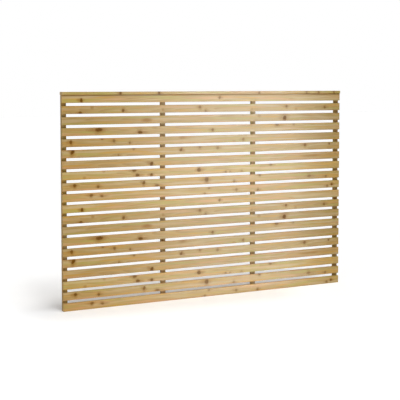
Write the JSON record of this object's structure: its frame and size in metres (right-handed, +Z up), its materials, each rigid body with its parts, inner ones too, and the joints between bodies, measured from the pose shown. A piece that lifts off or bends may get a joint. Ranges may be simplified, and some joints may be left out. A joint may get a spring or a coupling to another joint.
{
  "type": "slatted screen panel",
  "caption": "Softwood garden screen panel of evenly spaced level slats on upright battens, with a flat capping slat along the top, to be fixed between posts.",
  "frame": {"origin": "under the middle of the panel, at the height of the bottom slat's lower edge, centred on the capping", "axes": "+X along the slats to the right as seen from the front, +Y to the back, +Z up"},
  "size_m": [1.8, 0.044, 1.2],
  "materials": {
    "slat_timber": "planed, pressure-treated softwood with knots, matt",
    "batten_timber": "planed, pressure-treated softwood, matt",
    "cap_timber": "planed, pressure-treated softwood with knots, matt",
    "staple_wire": "galvanised wire, dull"
  },
  "bodies": {
    "root": {"slat_01": "slat_timber", "slat_02": "slat_timber", "slat_03": "slat_timber", "slat_04": "slat_timber", "slat_05": "slat_timber", "slat_06": "slat_timber", "slat_07": "slat_timber", "slat_08": "slat_timber", "slat_09": "slat_timber", "slat_10": "slat_timber", "slat_11": "slat_timber", "slat_12": "slat_timber", "slat_13": "slat_timber", "slat_14": "slat_timber", "slat_15": "slat_timber", "slat_16": "slat_timber", "slat_17": "slat_timber", "slat_18": "slat_timber", "slat_19": "slat_timber", "slat_20": "slat_timber", "left_batten": "batten_timber", "inner_left_batten": "batten_timber", "inner_right_batten": "batten_timber", "right_batten": "batten_timber", "top_cap": "cap_timber", "left_batten_staples": "staple_wire", "inner_left_batten_staples": "staple_wire", "inner_right_batten_staples": "staple_wire", "right_batten_staples": "staple_wire", "cap_staples": "staple_wire"}
  },
  "joints": []
}
